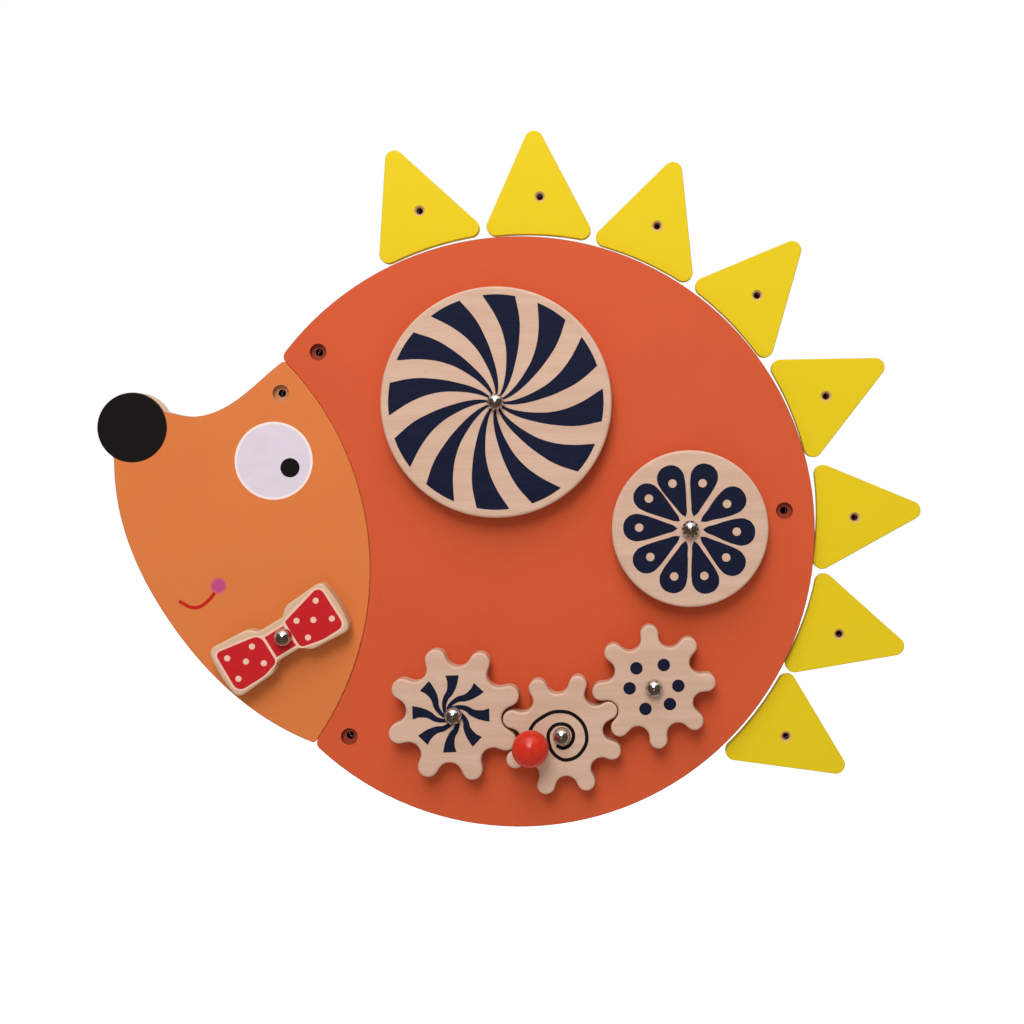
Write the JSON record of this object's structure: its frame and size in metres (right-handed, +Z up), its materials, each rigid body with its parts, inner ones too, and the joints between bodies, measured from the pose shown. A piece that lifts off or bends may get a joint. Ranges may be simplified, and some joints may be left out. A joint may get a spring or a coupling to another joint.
{
  "type": "wall-mounted busy board",
  "caption": "Hedgehog-shaped wooden wall play panel with turning wheels, a meshing gear train with a crank knob, a turning bow tie and separate triangular spikes.",
  "frame": {"origin": "centre of the round body panel, on the wall plane", "axes": "+X to the right and +Z up as seen from the front, +Y into the wall; everything stands in front of the wall towards -Y"},
  "size_m": [0.793, 0.0795, 0.671],
  "materials": {
    "body_paint": "satin orange-red paint on board",
    "head_paint": "satin light orange paint on board",
    "spike_paint": "satin yellow paint on board",
    "beech": "fine sanded, clear matt lacquer",
    "ball_paint": "gloss red lacquer on a turned ball",
    "dowel_beech": "plain beech dowel",
    "zinc_steel": "bright zinc plated",
    "polished_steel": "polished round cap nut",
    "nylon": "natural nylon"
  },
  "bodies": {
    "wall_panel": {"big_wheel_bolt": "zinc_steel", "big_wheel_cap_nut": "polished_steel", "big_wheel_sleeve": "zinc_steel", "big_wheel_spacer": "nylon", "big_wheel_washer": "zinc_steel", "body_panel": "body_paint", "bow_tie_bolt": "zinc_steel", "bow_tie_cap_nut": "polished_steel", "bow_tie_sleeve": "zinc_steel", "bow_tie_spacer": "nylon", "bow_tie_washer": "zinc_steel", "crank_gear_bolt": "zinc_steel", "crank_gear_cap_nut": "polished_steel", "crank_gear_sleeve": "zinc_steel", "crank_gear_spacer": "nylon", "crank_gear_washer": "zinc_steel", "head_panel": "head_paint", "joint_dowel_1": "dowel_beech", "joint_dowel_2": "dowel_beech", "joint_dowel_3": "dowel_beech", "joint_dowel_4": "dowel_beech", "left_gear_bolt": "zinc_steel", "left_gear_cap_nut": "polished_steel", "left_gear_sleeve": "zinc_steel", "left_gear_spacer": "nylon", "left_gear_washer": "zinc_steel", "right_gear_bolt": "zinc_steel", "right_gear_cap_nut": "polished_steel", "right_gear_sleeve": "zinc_steel", "right_gear_spacer": "nylon", "right_gear_washer": "zinc_steel", "small_wheel_bolt": "zinc_steel", "small_wheel_cap_nut": "polished_steel", "small_wheel_sleeve": "zinc_steel", "small_wheel_spacer": "nylon", "small_wheel_washer": "zinc_steel", "spike_1": "spike_paint", "spike_2": "spike_paint", "spike_3": "spike_paint", "spike_4": "spike_paint", "spike_5": "spike_paint", "spike_6": "spike_paint", "spike_7": "spike_paint", "spike_8": "spike_paint"},
    "big_wheel_turning": {"big_wheel": "beech"},
    "small_wheel_turning": {"small_wheel": "beech"},
    "left_gear_turning": {"left_gear": "beech"},
    "crank_gear_turning": {"crank_gear": "beech", "knob_peg": "dowel_beech", "knob_ball": "ball_paint"},
    "right_gear_turning": {"right_gear": "beech"},
    "bow_tie_turning": {"bow_tie": "beech"}
  },
  "joints": [
    {"name": "big_wheel_spin", "type": "hinge", "parent": "wall_panel", "child": "big_wheel_turning", "pos_m": [-0.0204, -0.032, 0.1235], "axis": [0, -1, 0], "continuous": true},
    {"name": "small_wheel_spin", "type": "hinge", "parent": "wall_panel", "child": "small_wheel_turning", "pos_m": [0.1629, -0.032, 0.004], "axis": [0, -1, 0], "continuous": true},
    {"name": "bow_tie_spin", "type": "hinge", "parent": "wall_panel", "child": "bow_tie_turning", "pos_m": [-0.22019, -0.032, -0.09789], "axis": [0, -1, 0], "continuous": true},
    {"name": "crank_gear_spin", "type": "hinge", "parent": "wall_panel", "child": "crank_gear_turning", "pos_m": [0.0418, -0.032, -0.1908], "axis": [0, -1, 0], "continuous": true},
    {"name": "left_gear_spin", "type": "hinge", "parent": "wall_panel", "child": "left_gear_turning", "pos_m": [-0.06033, -0.032, -0.17169], "axis": [0, -1, 0], "continuous": true},
    {"name": "right_gear_spin", "type": "hinge", "parent": "wall_panel", "child": "right_gear_turning", "pos_m": [0.12869, -0.032, -0.14547], "axis": [0, -1, 0], "continuous": true}
  ],
  "couplings": [
    {"joint": "left_gear_spin", "follows": "crank_gear_spin", "ratio": -1},
    {"joint": "right_gear_spin", "follows": "crank_gear_spin", "ratio": -1}
  ]
}
